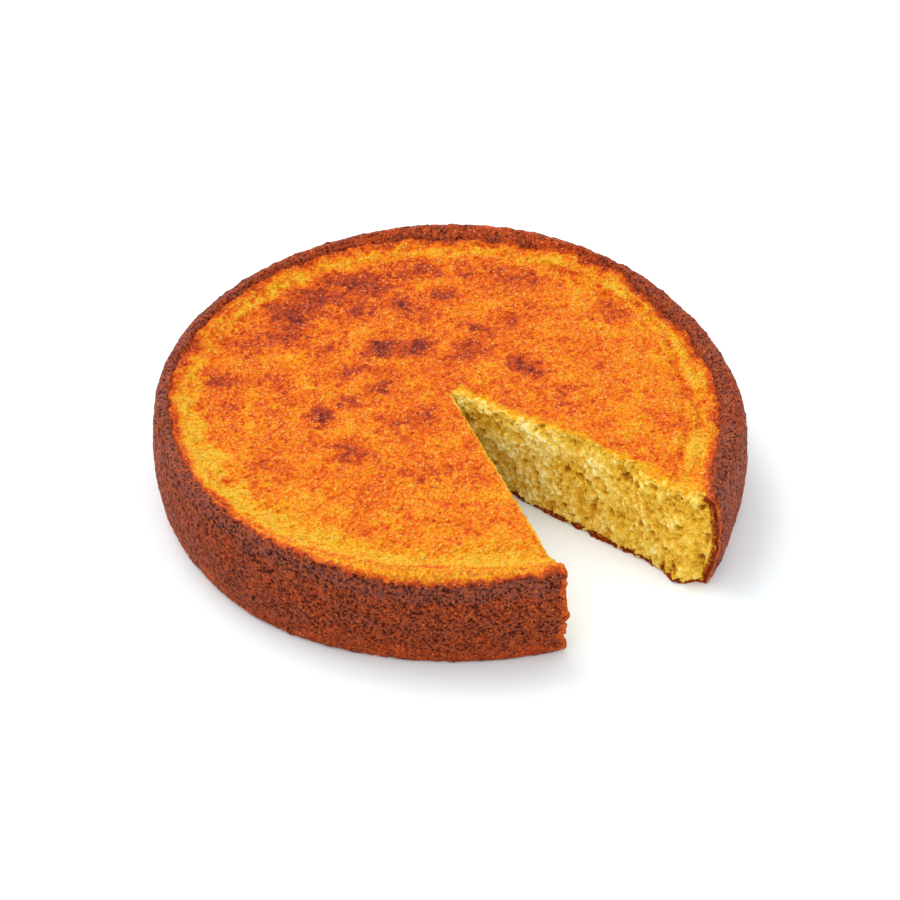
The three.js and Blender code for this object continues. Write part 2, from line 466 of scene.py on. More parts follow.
def rim_edge(angle):
    line = at(angle, CREST_RADIUS, 0)[:, :3]
    wander = 0.9 * waves(line, 12, 201) + 0.5 * waves(line, 3.4, 203)
    return np.minimum(round_the_rim(angle, RIM_EDGES) + wander, TUCKED_RADIUS - 1)


CRUST_SPACING = 0.64
crust_angles = ring_angles(WIDEST_RADIUS, CRUST_SPACING)
edge_radius = rim_edge(crust_angles)
print("crust ends on the top at radius, mm:", edge_radius.min().round(1), edge_radius.max().round(1))

# %% Crust, plain form
LIP_ROWS, LIP_LIFT = 10, 0.15
EDGE_DIP, EDGE_DIP_WIDTH = 1.6, 1.7
side_length = run_along(side_curve)[-1]
crust = Skin()
crust_rings = []
for share in np.linspace(0, 1, LIP_ROWS + 1)[:-1]:
    radii = edge_radius + (CREST_RADIUS - edge_radius) * share
    dip = EDGE_DIP * blend_in(radii - edge_radius, EDGE_DIP_WIDTH, 0)
    crust_rings.append(crust.chain(at(crust_angles, radii, top_height(radii) + LIP_LIFT - dip)))
for radius, height in evenly(side_curve[::-1], round(side_length / CRUST_SPACING) + 1):
    crust_rings.append(crust.chain(at(crust_angles, radius, height)))
for upper, lower in zip(crust_rings, crust_rings[1:]):
    crust.stitch(upper, lower, "face")

base_radius = side_curve[0, 0]
base_radii = np.linspace(base_radius, 0, round(base_radius / CRUST_SPACING) + 1)
base_tip = crust.chain(at(BACK, 0, 0))
right_base, left_base = (
    np.append(ring_end, cut_row(crust, angle, base_radii[1:], base_radii[1:] * 0, base_tip))
    for ring_end, angle in ((crust_rings[-1][0], FIRST), (crust_rings[-1][-1], LAST))
)
crust.fill_flat(right_base, left_base, crust_rings[-1][1:-1], "base", facing_up=False)
print("crust outside:", crust.count, "points in", len(crust_rings), "rings and the base")

# %% [markdown]
# Where the knife went through the crust, its thickness shows: thick in the rim, thin down the side
# and along the base. Strips between the outer line and an inner line make those cut edges, and a
# narrow ledge runs in behind the inner line, because the crust stands proud of the softer crumb. A
# Solidify modifier gives thickness in one go, but the same all over, and real crust varies.

# %% Inside of the crust
inner_radius = BASE_RADIUS - SIDE_CRUST + 0.2
RIM_CRUST = 2.4  # how thick the crust is at its edge on the top
CRUST_INSIDE = [  # radius and height, from the base up
    (inner_radius, BASE_CRUST),
    (WIDEST_RADIUS - SIDE_CRUST, WIDEST_HEIGHT),
    (SHOULDER_RADIUS - 2.6, 35.5),
    (CREST_RADIUS - 1.2, CREST_HEIGHT - 3.3),
]


def cut_directions():
    """For each cut: its direction away from the tip, and the direction into the cake."""
    found = {}
    for angle, turn in ((FIRST, 1), (LAST, -1)):
        away = outline(np.array(angle)) - TIP
        away /= np.linalg.norm(away)
        found[angle] = away, turn * np.array([-away[1], away[0]])
    return found


CUTS = cut_directions()


def inner_line(rim, side_count, base_count):
    """Radii and heights of the crust's inside, from the rim's edge down and in to the tip."""
    down = curve([(rim + 0.3, top_height(rim) - RIM_CRUST), *CRUST_INSIDE[::-1]])
    inward = np.linspace((inner_radius, BASE_CRUST, rim), (0, BASE_CRUST, rim), base_count)
    inward[:, 1] += 0.45 * waves(inward, 3.5, 205)
    return np.vstack([evenly(down, side_count), inward[1:, :2]])


print("knife directions:", [away.round(3).tolist() for away, _ in CUTS.values()])

# %% Cut edges of the crust
CUT_LAYERS = 3
LEDGE = 4.0  # how far the ledge runs in
tips = [base_tip] + [
    crust.chain(at(BACK, 0, BASE_CRUST * layer / CUT_LAYERS)) for layer in range(1, CUT_LAYERS + 1)
]
plain_points = crust.points()
side_count = len(crust_rings)
cut_layers, ledges, inners = {}, {}, {}
for end, angle, base_row in ((0, FIRST, right_base), (-1, LAST, left_base)):
    outer = np.concatenate([[ring[end] for ring in crust_rings], base_row[1:]])
    section = plain_points[outer][:, [4, 2]]
    inner = inner_line(edge_radius[end], side_count, len(base_row))
    layers = [outer]
    for layer in range(1, CUT_LAYERS + 1):
        place = section + (inner - section) * layer / CUT_LAYERS
        layers.append(cut_row(crust, angle, place[:, 0], place[:, 1], tips[layer]))
    ledge = at(angle, inner[:side_count, 0], inner[:side_count, 1])
    ledge[:, :2] += CUTS[angle][1] * LEDGE
    cut_layers[angle], ledges[angle], inners[angle] = layers, crust.chain(ledge), inner[:side_count]

for layer in range(CUT_LAYERS):
    right_pair, left_pair = (cut_layers[angle][layer : layer + 2] for angle in (FIRST, LAST))
    crust.stitch_cuts(right_pair[::-1], left_pair[::-1], "cut")
right_inner, left_inner = (cut_layers[angle][-1] for angle in (FIRST, LAST))
crust.stitch_cuts(
    (ledges[FIRST], right_inner[:side_count]), (ledges[LAST], left_inner[:side_count]), "ledge"
)

# %% Hidden inside of the crust
hidden_angles = ring_angles(inner_radius, HIDDEN_SPACING)[2:-2]
upper_ring = crust_rings[0]
ends = {angle: [layer[0] for layer in cut_layers[angle][1:]] for angle in (FIRST, LAST)}
done = {FIRST: 0, LAST: 0}
for radius, height in CRUST_INSIDE[::-1]:
    inside_ring = crust.chain(at(hidden_angles, radius, height))
    for angle in (FIRST, LAST):
        reached = np.linalg.norm(inners[angle] - (radius, height), axis=1).argmin() + 1
        ends[angle] = np.concatenate([ends[angle], ledges[angle][done[angle] : reached]]).astype(int)
        done[angle] = reached
    crust.stitch_round(upper_ring, ends[FIRST], inside_ring, ends[LAST], facing_in=True)
    upper_ring = np.concatenate([ends[FIRST][-1:], inside_ring, ends[LAST][-1:]])
    ends = {FIRST: [], LAST: []}
right_floor, left_floor = right_inner[side_count - 1 :], left_inner[side_count - 1 :]
crust.fill_flat(right_floor, left_floor, upper_ring, "hidden", facing_up=True)
print("crust:", crust.count, "points,", len(crust.triangles), "triangles")

# %% [markdown]
# A knife tears crumb as much as it cuts it. `tear` moves everything near a cut face in or out across
# the cut. The move is largest on the face and dies out a few millimetres behind it, so that the
# surfaces beside the face follow and don't fold over. The three pieces could be roughened one by one,
# but they would part along their seams. One rule that moves them all keeps them together.

# %% How the knife strayed
STRAYS = [  # along the right cut, how far the knife strayed into the cake: at the base, at the top
    (0, 1.5, 0), (12, 1.8, 0), (25, 2.0, 0), (32, 1.5, 0.6), (45, 0.8, 3), (56, 0.3, 5.6),
    (66, 0, 5.2), (73, -0.4, 3.6), (81, -0.8, 5), (86, -0.6, 3.6), (91, -0.4, 0.8), (100, -0.9, 0.9),
    (105, -2.6, 1), (110, -4.6, 1.5), (114, -3.2, 2), (118, 1.2, 2.5), (126, 3, 2.5),
]


def knife_stray(along, height):
    """The knife didn't go quite straight: it leaned back in the upper half of the right cut."""
    places, base, top = (np.array(column) for column in zip(*STRAYS))
    low, high = np.interp(along, places, base), np.interp(along, places, top)
    return low + (high - low) * np.clip(height / (CENTRE_HEIGHT - SKIN_DEPTH), 0, 1) ** 1.5


middle_strays = knife_stray(np.full(2, 60.0), np.array([0.0, CENTRE_HEIGHT]))
print("60 mm from the tip the knife strayed, mm:", middle_strays, "at the base and the top")

# %% Tearing the cut faces
TEAR_REACH, STRAY_REACH = 8.0, 20.0  # how far behind the cut the moves die out
CALM_TIP = 9.0  # how far from the tip the tear reaches its full size


def tear(points, depth):
    """Moves of the points into the cake near each cut, from their depth(points)."""
    moves = np.zeros((len(points), 3))
    for angle, (away, inward) in CUTS.items():
        offset = points[:, :2] - TIP
        along, behind = offset @ away, offset @ inward
        near = (behind > -1) & (behind < STRAY_REACH) & (along > -TEAR_REACH)
        share = 1 - np.clip(behind[near], 0, TEAR_REACH) / TEAR_REACH
        push = depth(points[near]) * share**2
        if angle == FIRST:
            share = 1 - np.clip(behind[near], 0, STRAY_REACH) / STRAY_REACH
            push += knife_stray(along[near], points[near, 2]) * share**2
        moves[near, :2] += (push * blend_in(along[near], 0, CALM_TIP))[:, None] * inward
    return moves


# %% Where the side shrank
SHRINKS = [  # direction and width in degrees, and how far the foot of the side leans in
    (172, 16, 1.8), (254, 8, 3.2), (286, 8, 2.6),
]


def shrink(points):
    """In a few places the foot of the side shrank away from the tin, so it leans in there."""
    offset = points[:, :2] - MIDDLE
    pull = sum(far * near_direction(points[:, 3], towards, width) for towards, width, far in SHRINKS)
    pull *= blend_in(points[:, 2], WIDEST_HEIGHT, 0) * (points[:, 4] / WIDEST_RADIUS) ** 4
    return np.column_stack([-offset * (pull / WIDEST_RADIUS)[:, None], 0 * pull])


# %% [markdown]
# Each surface tears in its own way. Moist crumb breaks round its bubbles, so it has clumps that
# stand out and holes that go in. The golden top follows it less and slopes back, and the crust is
# stiffer and notched. The holes could be cut out with Booleans, but smooth-edged hollows in the face
# look more like crumb, and the mesh stays clean.

# %% How deep each surface tears
def crumb_depth(points):
    """How far the crumb gives way: less than 0 on its clumps, most in its holes."""
    place = points[:, :3]
    swell = 0.9 * rough(place, 9, 101)
    bent = place + 0.8 * rough(place, 2.5, 105)[:, None]
    clump, _, _ = spots(bent, 3.3, 111)
    grain, _, _ = spots(place + 0.3 * waves(place, 1.2, 119)[:, None], 1.3, 121)
    hole = pocks(place, 5.2, 131, 0.40, 0.12, 0.4)
    pore = pocks(place, 2.3, 141, 0.44, 0.15, 0.5)
    depth = 0.2 - swell + 2.1 * (clump - 0.55) + 1.1 * (grain - 0.5) + 1.8 * hole + 1.1 * pore
    radii, heights = zip(*CRUST_INSIDE)
    beyond = points[:, 4] - np.interp(points[:, 2], heights, radii)
    depth += (np.minimum(depth, 1.4) - depth) * blend_in(beyond, -3, -0.5)
    return depth + (crust_depth(points) + 1.2 - depth) * blend_in(beyond, -0.3, 0.4)


def golden_depth(points):
    """The golden top goes with the crumb at its underside and slopes back at its surface."""
    place, on_left = points[:, :3], points[:, 3] > BACK
    below = blend_in(top_height(points[:, 4]) - points[:, 2], 0, SKIN_DEPTH)
    follows = np.where(on_left, 0.15, 0.5)
    torn_edge = 1.3 + 0.9 * rough(place, 4, 151) + 0.5 * rough(place, 1.7, 153, 2)
    sloped_back = np.where(on_left, 0.5 + 0.3 * rough(place, 3, 155), torn_edge)
    sloped_back += 1.4 * blend_in(points[:, 4] - rim_edge(points[:, 3]), 0, 0.8)
    return crumb_depth(points) * (follows + (1 - follows) * below) + sloped_back * (1 - below)


def crust_depth(points):
    """The crust is ragged and notched, and flares out at the foot of the left cut."""
    place, height, on_left = points[:, :3], points[:, 2], points[:, 3] > BACK
    notches = pocks(place, 6.5, 161, 0.34, 0.12, 0.45)
    crumbs, _, _ = spots(place, 1.9, 167)
    flare = blend_in(height, 9, 1.5) * np.where(on_left, 1.4, 0.1)
    ragged = 0.7 * rough(place, 5, 163) + 0.9 * (crumbs - 0.5)
    return ragged + notches * np.where(on_left, 2.2, 1.3) - 0.3 - flare


# %% [markdown]
# The golden top baked in the open, so it is covered with small pebbles. In a ring beside the rim the
# batter boiled longest, and left larger bubbles and wrinkles that run round the cake. A bump in the
# finish would only shade them. Here the surface itself is raised along its own directions, so they
# also show on the outline and in slanting light.

# %% Relief of the golden top
def golden_relief(points):
    """Height at each point of the top, and how much it lies in a pinhole."""
    place, angle, radius = points[:, :3], points[:, 3], points[:, 4]
    to_edge = rim_edge(angle) - radius
    on_right = facing(angle, -12, 0.4, 0.8)
    bubbly = blend_in(to_edge, 19, 12) * blend_in(to_edge, -0.5, 2)
    pebble, _, _ = spots(place + 0.4 * waves(place, 2, 301)[:, None], 1.9, 303)
    bubble, _, _ = spots(place + 0.6 * waves(place, 3, 305)[:, None], 3.1, 306)
    round_place = np.column_stack([radius, angle * 22, 0 * angle])
    wrinkle = waves(round_place, 3.4, 307) + 0.4 * waves(round_place, 1.7, 309)
    pinholes = pocks(place, 3.3, 311, 0.2, 0.07, 0.4)
    height = (0.5 - pebble) * 1.2 + (0.5 - bubble) * 1.2 * bubbly
    height += wrinkle * bubbly * (0.3 + 0.7 * on_right)
    height += 0.2 * waves(place, 3.1, 313) + 0.25 * waves(place, 6, 315) + 0.4 * waves(place, 14, 317)
    groove = np.exp(-(((to_edge - 0.8) / 1.5) ** 2)) * (0.2 + 1.2 * on_right)
    tucked = 1.8 * blend_in(to_edge, 0, -1.5)
    return height - groove - tucked - 0.55 * pinholes, pinholes


# %% [markdown]
# The side was pressed against the tin, so it is smooth between its many small pits and a few level
# creases. The rim stood free, and dried into plates with cracks between them. One relief for both
# would look like sponge, so pits and plates change places a few millimetres below the crest.

# %% Relief of the crust
crest_run = run_along(side_curve[::-1])


def below_crest(points):
    """How far down the side a point is along the surface. On the lip it is less than 0."""
    down = np.interp(-points[:, 2], -side_curve[::-1, 1], crest_run)
    return np.where(points[:, 4] < CREST_RADIUS, points[:, 4] - CREST_RADIUS, down)


def crust_relief(points):
    """Height at each point of the crust, and how much it lies in a pit, a crease or a crack."""
    place, height, down = points[:, :3], points[:, 2], below_crest(points)
    on_rim = blend_in(down, 6, 3)
    on_right = facing(points[:, 3], 35, 0, 0.7)
    bent = 0.5 * np.stack([waves(place, 1.8, salt) for salt in (401, 423, 425)], axis=1)
    flattened = place * (1, 1, 1.35) + bent
    little_pit, _, kind = spots(flattened, 1.6, 405)
    pits = 0.7 * blend_in(little_pit, 0.42, 0.2) * (kind > 0.35)
    pits = np.maximum(pits, pocks(flattened, 2.2, 403, 0.42, 0.2, 0.35))
    pits *= (1 - 0.75 * on_rim) * (0.35 + 0.65 * blend_in(height, 3, 11))
    crease = np.abs(waves(place * (1, 1, 4.5), 14, 407))
    creases = 0.8 * blend_in(crease, 0.06, 0.01) * blend_in(waves(place, 19, 409), 0.1, 0.45)
    creases *= 1 - on_rim
    plate, beside, _ = spots(place + 0.5 * waves(place, 3, 411)[:, None], 5.0, 413)
    cracks = blend_in(beside - plate, 0.09, 0.02) * on_rim * (1 - 0.4 * on_right)
    cracks *= blend_in(waves(place, 9, 421), -0.2, 0.4)
    rise = 0.22 * waves(place, 7, 415) + 0.2 * waves(place, 3, 417) + 0.18 * waves(place, 1.5, 419)
    rise += 0.2 * (0.5 - plate) * on_rim + 0.5 * (0.5 - little_pit) * on_rim
    rise -= 0.6 * pits + 0.4 * creases + 0.35 * cracks
    rise *= blend_in(points[:, 4] - rim_edge(points[:, 3]), -0.5, 1.5)
    return rise, np.clip(pits + creases + 0.6 * cracks, 0, 1)


# %% [markdown]
# How brown each place is comes from the oven: most at the rim, least in a ring just inside it, and
# in scorched patches over the middle. One number, from 0 for yellow to 1 for the darkest purple
# brown, is worked out at every point here, and the finishes turn it into colour later. It could be
# painted by hand on a picture. Worked out, it knows the relief and stays sharp however near one looks.

# %% Where the oven scorched the top
SCORCHES = [  # x and y from the middle, size, strength, which is less than 0 where it stayed pale
    (-4, 41, 5.5, 0.62), (-1, 45, 4, 0.5), (12, 33, 5, 0.35), (4, 38, 5, 0.3), (-21, 38, 6, 0.42),
    (-19, 21, 4, 0.5), (-31, 22, 5, 0.5), (-46, 23, 6, 0.5), (-47, 18, 4, 0.3), (-29, 0, 5, 0.35),
    (-50, -4, 6, 0.45), (-48, -10, 4, 0.25), (-11, -2, 6, 0.35), (-37, -31, 6, 0.25),
    (-44, -23, 5, 0.15), (23, 82, 8, 0.4), (15, 88, 7, 0.42), (10, 95, 5, 0.25), (33, 80, 5, 0.25),
    (45, 75, 6, 0.35), (57, 65, 6, 0.35), (-9, 90, 8, 0.42), (1, 89, 5, 0.3), (-19, 89, 6, 0.35),
    (-15, 81, 8, 0.25), (-33, 100, 5, 0.35), (-63, 67, 6, 0.35), (-60, 60, 5, 0.2), (-38, 75, 9, 0.22),
    (-22, 72, 11, 0.25), (-16, 55, 6, 0.3), (-48, 45, 9, 0.2), (-71, 48, 4, 0.35), (38, 54, 4, 0.42),
    (42, 56, 4, 0.25), (5, 68, 6, 0.28), (16, 73, 9, 0.2), (34, 37, 4, 0.32), (35, 30, 4, 0.3),
    (36, 25, 4, 0.3), (22, 18, 6, 0.2), (13, 18, 5, 0.15), (36, -4, 5, 0.38), (35, 4, 4, 0.25),
    (37, -9, 4, 0.25), (74, 41, 6, 0.25), (65, 52, 6, 0.2), (60, -23, 7, 0.2), (61, -32, 5, 0.15),
    (74, -42, 5, 0.22), (32, -31, 8, 0.2), (44, -38, 6, 0.2), (28, -23, 5, 0.15), (52, -65, 7, 0.22),
    (60, -66, 4, 0.15), (52, -51, 5, 0.15), (-81, 12, 5, 0.25), (-58, -54, 7, 0.12),
    (-60, -31, 7, 0.15), (64, 3, 9, 0.15), (55, 28, 8, 0.15), (24, 50, 8, 0.15),
    (-4, 78, 9, 0.35), (-25, 88, 8, 0.2), (-66, 30, 7, 0.2), (25, 60, 8, 0.15),
    (77, -30, 24, -0.2), (48, -55, 12, -0.22), (12, 56, 7, -0.15),
]
DARK_LINES = [  # direction in degrees, and how far below the crest the dark part of the side starts
    (-74, 1.5), (-67, -0.5), (-60, -2.5), (-50, -4.5), (-35, -5.5), (0, -5), (25, -4.5), (50, -5),
    (70, -3.5), (90, -2.5), (137, -1), (155, -2), (177, 0.6), (190, 2), (205, 4), (214, 5.6),
    (223, 7.6), (235, 7.2), (243, 6), (250, 4), (254, 3),
]
print(len(SCORCHES), "scorched or pale patches")

# %% Browning of the golden top
def golden_browning(points):
    place, angle, radius = points[:, :3], points[:, 3], points[:, 4]
    from_middle = place[:, :2] - MIDDLE
    bent = from_middle + np.stack([rough(place, 8, 501), rough(place, 8, 503)], axis=1) * 2.5
    scorched = np.zeros(len(place))
    for x, y, size, strength in SCORCHES:
        far = np.linalg.norm(bent - (x, y), axis=1) / size
        scorched += strength * np.exp(-(far**2))
    grain = rough(place, 2.2, 507)
    to_edge = rim_edge(angle) - radius
    brown = 0.35 + 0.11 * rough(place, 14, 505) + 0.07 * rough(place, 5, 509) + 0.05 * grain
    brown += 0.0005 * (from_middle @ (0.7, 0.7)) + 0.05 * blend_in(radius, 80, 25)
    patches = 0.48 * scorched + 0.17 * blend_in(scorched + 0.3 * grain, 0.1, 0.5)
    brown += patches * blend_in(to_edge, 3, 9)
    brown = np.minimum(brown, 0.8 + 0.1 * grain)
    wavy = to_edge + 2.0 * rough(place, 7, 511)
    front_left = facing(angle, 222, -0.3, 0.75)
    yellow_ring = blend_in(wavy, 9 + 8 * front_left, 7) * blend_in(wavy, 0.3, 3)
    brown -= yellow_ring * (0.22 + 0.12 * front_left + 0.12 * rough(place, 5, 513))
    flecked = blend_in(to_edge + 1.2 * rough(place, 2.2, 515), 6, 0.3)
    flecked *= blend_in(round_the_rim(angle, DARK_LINES), 3.5, 0.5)
    return np.clip(brown + 0.15 * flecked, 0, 1)


# %% [markdown]
# The crust is darkest just under the crest, where it dried out most, and redder further down. Over
# the crest it turns golden towards the middle of the cake, sooner on one side than on the other.
# Beside the cuts it frays, and its paler inside shows. A plain gradient up the side would miss how
# the dark line wanders, so the line has a table of its own.

# %% Browning of the crust
def behind_cut(points):
    """Distance from the nearer cut face, measured into the cake."""
    offsets = [np.abs((points[:, :2] - TIP) @ inward) for _, inward in CUTS.values()]
    ahead = [(points[:, :2] - TIP) @ away > 0 for away, _ in CUTS.values()]
    return np.minimum(*(np.where(front, offset, 99) for front, offset in zip(ahead, offsets)))


def crust_browning(points):
    place, height, down = points[:, :3], points[:, 2], below_crest(points)
    below_line = down - round_the_rim(points[:, 3], DARK_LINES) + 1.1 * rough(place, 3, 527)
    on_right = facing(points[:, 3], 10, -0.1, 0.7)
    on_back = facing(points[:, 3], 62, 0.2, 0.9)
    side = 0.68 + 0.10 * rough(place, 8, 521) - 0.10 * blend_in(height, 11, 4)
    rim = 0.97 - 0.17 * on_right - 0.22 * on_back + 0.12 * rough(place, 5, 523)
    brown = side + (rim - side) * blend_in(below_line + 1.5 * waves(place, 6, 525), 9, 5)
    lip = 0.04 + 0.36 * blend_in(below_line, -3.6, -0.8) + 0.2 * on_right + 0.12 * on_back
    lip += 0.09 * rough(place, 2.5, 529)
    brown += (lip - brown) * blend_in(below_line, 1.8, -1.8)
    frayed = blend_in(behind_cut(points) + 1.6 * rough(place, 2.5, 533), 3.6, 0.6)
    return np.clip(brown + (0.3 - brown) * 0.85 * frayed, 0, 1)


# %% [markdown]
# Now the plain forms get their relief and their torn cuts. Displace modifiers could raise them, but
# they move every point along its normal only, and a tear goes in and out across the cut. So the moves
# are added up here, and the base is kept from going below the table.

# %% Raising the relief
def face_directions(points, triangles):
    """The direction in which each point's surface faces."""
    corners = points[triangles]
    across = np.cross(corners[:, 1] - corners[:, 0], corners[:, 2] - corners[:, 0])
    directions = np.zeros_like(points)
    for corner in range(3):
        np.add.at(directions, triangles[:, corner], across)
    return directions / np.maximum(np.linalg.norm(directions, axis=1), 1e-9)[:, None]


def shape_piece(skin, depth, relief):
    """Final points of a piece, the plain ones, its triangles, how much it lies in pits or pinholes,
    which its finish paints as shade, and its relief.
    """
    plain, triangles = skin.points(), np.array(skin.triangles)
    final = plain[:, :3] + tear(plain, depth) + shrink(plain)
    dark, rise = np.zeros(len(plain)), np.zeros(len(plain))
    on_face = np.array(skin.patches) == "face"
    if relief:
        raised = np.unique(triangles[on_face])
        directions = face_directions(plain[:, :3], triangles[on_face])
        rise[raised], dark[raised] = relief(plain[raised])
        final += directions * rise[:, None]
    final[:, 2] = np.maximum(final[:, 2], 0)
    return final, plain, triangles, dark, rise


# %% [markdown]
# The points become meshes. Each mesh keeps the numbers worked out above as named values at its
# points, which its finish reads. Vertex colours could hold them too, but a number can be turned into
# any colour later. Edges beside the hidden patches are marked sharp, so that the hidden triangles
# don't bend the shading. A map called OFBake lays every patch out flat, without overlaps, so that
# the finish can be painted on to it.

# %% Turning points into meshes
def is_closed(triangles):
    """True when every edge is shared by two triangles that run along it in opposite ways."""
    edges = np.concatenate([triangles[:, [0, 1]], triangles[:, [1, 2]], triangles[:, [2, 0]]])
    codes = edges[:, 0] * 10**7 + edges[:, 1]
    turned = edges[:, 1] * 10**7 + edges[:, 0]
    return len(np.unique(codes)) == len(codes) and np.array_equal(np.sort(codes), np.sort(turned))


def make_piece(name, skin, shaped, values, layout, map_size):
    """A mesh with its named values, and its patches laid out flat on a map of this size."""
    final, plain, triangles, _, _ = shaped
    patches = np.array(skin.patches)
    mesh = bpy.data.meshes.new(name)
    mesh.from_pydata((final * MM).tolist(), [], triangles.tolist())
    mesh.shade_smooth()
    for value_name, numbers in values.items():
        mesh.attributes.new(value_name, "FLOAT", "POINT").data.foreach_set("value", numbers)

    unseen = np.isin(patches, ["hidden", "base"])
    edge_of_loop = np.zeros(len(mesh.loops), np.int64)
    mesh.loops.foreach_get("edge_index", edge_of_loop)
    sides = np.bincount(edge_of_loop, minlength=len(mesh.edges))
    hidden_sides = np.bincount(edge_of_loop, np.repeat(unseen, 3), minlength=len(mesh.edges))
    sharp = (hidden_sides > 0) & (hidden_sides < sides)
    mesh.attributes.new("sharp_edge", "BOOLEAN", "EDGE").data.foreach_set("value", sharp)

    corners = plain[triangles]
    flat = np.zeros((len(triangles), 3, 2))
    for patch in np.unique(patches):
        chosen = patches == patch
        place = layout[patch](corners[chosen].reshape(-1, 5))
        flat[chosen] = np.stack(place, axis=-1).reshape(-1, 3, 2)
    mesh.uv_layers.new(name="OFBake").uv.foreach_set("vector", (flat / map_size).ravel())

    piece = bpy.data.objects.new(name, mesh)
    bpy.context.scene.collection.objects.link(piece)
    sizes = np.round(np.ptp(final, axis=0), 1)
    print(name, "closed:", is_closed(triangles), "size, mm:", sizes, "faces:", len(triangles))
    print("  map from", flat.min(axis=(0, 1)).round(1), "to", flat.max(axis=(0, 1)).round(1))
    return piece


# %% [markdown]
# A finish is laid on a real cake by the oven, all over at once. A painted one needs a flat map, like
# the peel of an orange. Blender can unwrap a mesh by itself, but these patches have plain shapes:
# the top as seen from above, the cut faces as seen from the front, the side as a wide ring.

# %% Flat layouts
def upright(x, y):
    """Lays a cut face out as it is seen: radius across and height up."""
    return lambda points: (x + points[:, 4], y + points[:, 2])


def in_plan(x, y, scale):
    """Lays a patch out as seen from above."""
    return lambda points: (x + points[:, 0] * scale, y + points[:, 1] * scale)


def edgewise(x, y):
    """Lays a narrow ledge out beside its neighbours, as seen from its end."""
    return lambda points: (x + points[:, 2], y + points[:, 0] * 0.1)


def round_a_ring(x, y, reach):
    """Lays a wall out round a ring, so far from its middle as reach says for each point."""
    def lay(points):
        far = reach(points)
        return x + far * np.cos(points[:, 3]), y + far * np.sin(points[:, 3])

    return lay


# %% [markdown]
# The golden top carries the browning, and how much each point lies in a pinhole or on a crest, which
# its finish turns into painted shade and painted highlight. Along the cuts its skin is torn back to
# pale crumb, further on the right cut, where the knife leaned. A crisp line there would look sawn, so
# the tear is a value that fades and wanders.

# %% Making the golden top
TOP_MAP, CRUMB_MAP, CRUST_MAP = 240, 118, 320  # widths of the flat maps, in millimetres


def crumb_painted_shade(points):
    """How dark the crumb is painted: 0 on its foremost clumps, 1 in its deepest holes, which is
    painted shade. Paler towards the tip, as painted light where the notch shades it.
    """
    # painted light: the crumb is painted paler towards the tip, where the notch shades it
    painted_lift_towards_tip = 0.06 * blend_in(points[:, 4], 104, 75) + 0.11 * blend_in(points[:, 4], 80, 25)
    return np.clip((crumb_depth(points) + 1.8) / 5 - painted_lift_towards_tip, 0, 1)


shaped = shape_piece(golden, golden_depth, golden_relief)
_, plain, _, pinholes, crest = shaped
under = top_height(plain[:, 4]) - plain[:, 2]
wander, width = np.where(plain[:, 3] > BACK, [[0.4], [1.2]], [[2.4], [9]])
frayed = blend_in(behind_cut(plain) + wander * rough(plain[:, :3], 4, 531), width, 0.2 * width)
golden_top = make_piece(
    "golden_top", golden, shaped,
    {
        "browning": golden_browning(plain),
        "pinholes": pinholes,
        "crest": crest,
        "torn": np.where(under > 0.05, 0.5 + 0.5 * np.clip(under, 0, 1), 0.5 * frayed),
        "painted_hollow_shade": crumb_painted_shade(plain),
    },
    {
        "face": in_plan(113, 113, 1),
        "right cut": upright(4, 193),
        "left cut": upright(122, 193),
        "hidden": in_plan(8, 8, 0.03),
    },
    TOP_MAP,
)

# %% [markdown]
# The crumb needs one value: how deep in a hole a point lies. Its finish paints the crumb lighter on
# the clumps that stand out and darker in its holes, which is painted highlight and painted shade on
# top of the rendered shadows. It also paints the crumb paler towards the tip, which is painted light
# where the notch shades it.

# %% Making the crumb
shaped = shape_piece(crumb, crumb_depth, None)
crumb_piece = make_piece(
    "crumb", crumb, shaped,
    {"painted_hollow_shade": crumb_painted_shade(shaped[1])},
    {
        "right cut": upright(2, 1),
        "left cut": upright(2, 41),
        "hidden": lambda points: (60 + 0.2 * points[:, 0], 98 + 0.12 * points[:, 1]),
    },
    CRUMB_MAP,
)

# %% [markdown]
# Across its thickness the crust turns from brown outside to golden inside, less in the thin base.
# The layers of the cut edges give that share. It could be found from the distance to the outside,
# but the layers know it already.

# %% How far inside the crust
BASE_SHARE = 0.62
shaped = shape_piece(crust, crust_depth, crust_relief)
_, plain, _, pits, _ = shaped
inner_share = np.zeros(len(plain))
for layers in cut_layers.values():
    for layer, chain in enumerate(layers):
        side_or_base = np.where(np.arange(len(chain)) < side_count, 1, BASE_SHARE)
        inner_share[chain] = layer / CUT_LAYERS * side_or_base
for chain in ledges.values():
    inner_share[chain] = 1
print("points inside the crust:", np.count_nonzero(inner_share))

# %% Making the crust
half = CRUST_MAP / 2
side_crust = make_piece(
    "side_crust", crust, shaped,
    {"browning": crust_browning(plain), "pits": pits, "inner": inner_share},
    {
        "face": round_a_ring(half, half, lambda points: CREST_RADIUS + below_crest(points)),
        "base": in_plan(half, half, 0.24),
        "right cut": upright(half - 56, half + 28),
        "left cut": upright(half - 56, half - 72),
        "right ledge": edgewise(4, 4),
        "left ledge": edgewise(4, 20),
        "hidden": round_a_ring(half, half, lambda points: 94 + points[:, 2] * 0.1),
    },
    CRUST_MAP,
)

# %% [markdown]
# Finishes are built from nodes, so they hold at any distance. They could be joined up by hand in the
# shader editor, but a recipe in words can be read and repeated. `Finish` keeps the recipes short: it
# adds a node with its sockets set or joined up in one line. Sizes in a recipe are millimetres.

